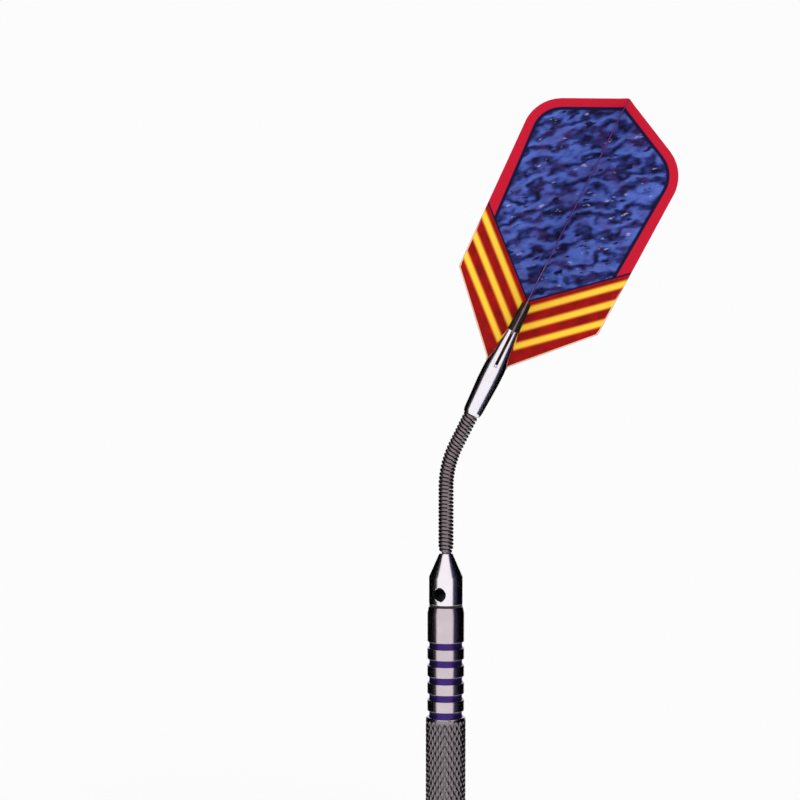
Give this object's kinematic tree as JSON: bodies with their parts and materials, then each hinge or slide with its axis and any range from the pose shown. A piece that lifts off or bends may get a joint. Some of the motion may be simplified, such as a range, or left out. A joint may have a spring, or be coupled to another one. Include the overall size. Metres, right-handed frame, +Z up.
{
  "type": "dart with flexible shaft",
  "caption": "Steel-tip dart: a grooved and knurled barrel, a close-coiled spring shaft that lets the flight bend aside, and a winged flight in a slotted holder.",
  "frame": {"origin": "centre of the barrel's nose, on the dart's axis, where the steel point comes out", "axes": "+Z up the barrel towards the flight; the spring's stored bend leans the flight towards +X"},
  "size_m": [0.0413, 0.0272, 0.1661],
  "materials": {
    "point_steel": "satin",
    "barrel_alloy": "satin",
    "ring_purple": "gloss",
    "seal_rubber": "matte",
    "shaft_aluminium": "polished",
    "spring_steel": "satin",
    "collet_black": "gloss",
    "flight_film": "gloss"
  },
  "bodies": {
    "barrel": {"barrel": "barrel_alloy", "steel_point": "point_steel", "grip_ring_1": "ring_purple", "grip_ring_2": "ring_purple", "grip_ring_3": "ring_purple", "grip_ring_4": "ring_purple", "grip_ring_5": "ring_purple"},
    "o_ring": {"shaft_o_ring": "seal_rubber"},
    "shaft": {"shaft_base": "shaft_aluminium", "spring_lower": "spring_steel"},
    "bend_1": {"spring_turns_1": "spring_steel"},
    "bend_2": {"spring_turns_2": "spring_steel"},
    "bend_3": {"spring_turns_3": "spring_steel"},
    "bend_4": {"spring_turns_4": "spring_steel"},
    "holder": {"spring_upper": "spring_steel", "flight_holder": "shaft_aluminium", "flight_collet": "collet_black"},
    "flight": {"flight_wing_front": "flight_film", "flight_wing_right": "flight_film", "flight_wing_back": "flight_film", "flight_wing_left": "flight_film"}
  },
  "joints": [
    {"name": "shaft_lift", "type": "slide", "parent": "barrel", "child": "o_ring", "axis": [0, 0, 1], "range_m": [0, 0.00324]},
    {"name": "shaft_unscrew", "type": "hinge", "parent": "o_ring", "child": "shaft", "pos_m": [0, 0, 0.05015], "axis": [0, 0, 1], "range_deg": [0, 1441.44]},
    {"name": "bend_side_1", "type": "hinge", "parent": "shaft", "child": "bend_1", "pos_m": [0, 0, 0.07099], "axis": [0, 1, 0], "range_deg": [-23.77, 6.23], "stiffness_Nm_per_rad": 0.0036, "springref_deg": -8.77, "deforming": ["spring_turns_1"]},
    {"name": "bend_fore_1", "type": "hinge", "parent": "bend_1", "child": "bend_2", "pos_m": [0.00019, 0, 0.0722], "axis": [0.9883, 0, -0.1524], "range_deg": [-22.5, 22.5], "stiffness_Nm_per_rad": 0.0024, "deforming": ["spring_turns_2"]},
    {"name": "bend_side_2", "type": "hinge", "parent": "bend_2", "child": "bend_3", "pos_m": [0.00037, 0, 0.07341], "axis": [0, 1, 0], "range_deg": [-23.77, 6.23], "stiffness_Nm_per_rad": 0.0036, "springref_deg": -8.77, "deforming": ["spring_turns_3"]},
    {"name": "bend_fore_2", "type": "hinge", "parent": "bend_3", "child": "bend_4", "pos_m": [0.00074, 0, 0.07458], "axis": [0.9535, 0, -0.3013], "range_deg": [-22.5, 22.5], "stiffness_Nm_per_rad": 0.0024, "deforming": ["spring_turns_4"]},
    {"name": "bend_side_3", "type": "hinge", "parent": "bend_4", "child": "holder", "pos_m": [0.00111, 0, 0.07575], "axis": [0, 1, 0], "range_deg": [-23.77, 6.23], "stiffness_Nm_per_rad": 0.0036, "springref_deg": -8.77},
    {"name": "flight_pull", "type": "slide", "parent": "holder", "child": "flight", "axis": [0.4431, 0, 0.8965], "range_m": [0, 0.013]}
  ],
  "couplings": [
    {"joint": "shaft_unscrew", "follows": "shaft_lift", "rad_per_m": 7757},
    {"joint": "bend_side_2", "follows": "bend_side_1", "ratio": 1},
    {"joint": "bend_fore_2", "follows": "bend_fore_1", "ratio": 1},
    {"joint": "bend_side_3", "follows": "bend_side_1", "ratio": 1}
  ]
}
